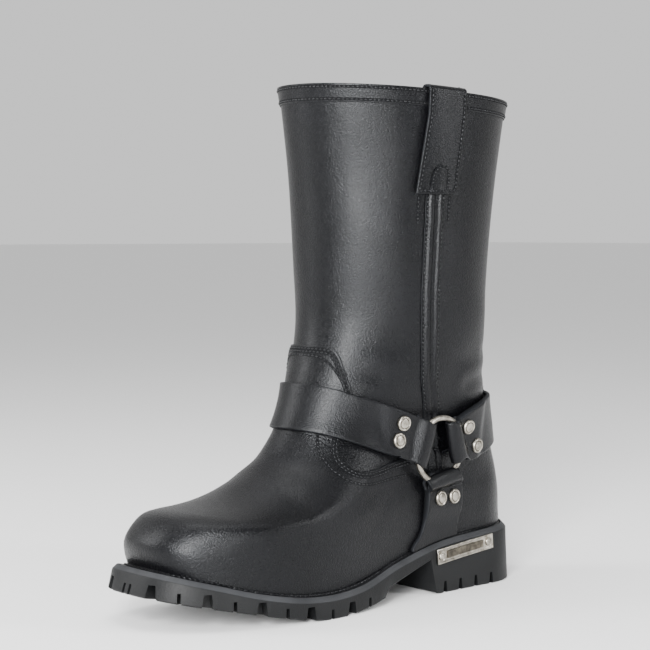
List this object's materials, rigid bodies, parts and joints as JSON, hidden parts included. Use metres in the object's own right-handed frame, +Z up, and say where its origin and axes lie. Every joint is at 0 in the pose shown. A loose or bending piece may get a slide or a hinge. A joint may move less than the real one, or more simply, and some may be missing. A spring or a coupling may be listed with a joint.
{
  "type": "harness boot",
  "caption": "Left pull-on harness boot: tall black leather shaft, ankle and arch straps held by metal rings, square-round toe, lugged rubber sole with high heel.",
  "frame": {"origin": "on the floor, under the middle of the boot's box", "axes": "+X towards the toe, +Y towards the boot's outer side, +Z up along the shaft"},
  "size_m": [0.315, 0.13, 0.3489],
  "materials": {
    "leather": "black grained, satin",
    "strap_leather": "black smooth strap leather, raw cut edges",
    "rubber": "moulded, matt",
    "nickel": "antique nickel",
    "lining": "matt textile footbed"
  },
  "bodies": {
    "root": {"collar_band": "leather", "counter": "leather", "heel_plate": "nickel", "insole": "lining", "outsole": "rubber", "plate_pin_front": "nickel", "plate_pin_rear": "nickel", "pull_strap_inner": "leather", "pull_strap_outer": "leather", "ring_inner": "nickel", "ring_outer": "nickel", "rivet_arch_inner_1": "nickel", "rivet_arch_inner_2": "nickel", "rivet_arch_outer_1": "nickel", "rivet_arch_outer_2": "nickel", "rivet_back_inner_1": "nickel", "rivet_back_inner_2": "nickel", "rivet_back_outer_1": "nickel", "rivet_back_outer_2": "nickel", "rivet_front_inner_1": "nickel", "rivet_front_inner_2": "nickel", "rivet_front_outer_1": "nickel", "rivet_front_outer_2": "nickel", "side_seam_inner": "leather", "side_seam_outer": "leather", "strap_arch_inner": "strap_leather", "strap_arch_outer": "strap_leather", "strap_back": "strap_leather", "strap_front": "strap_leather", "upper": "leather", "vamp": "leather", "welt": "leather"}
  },
  "joints": []
}
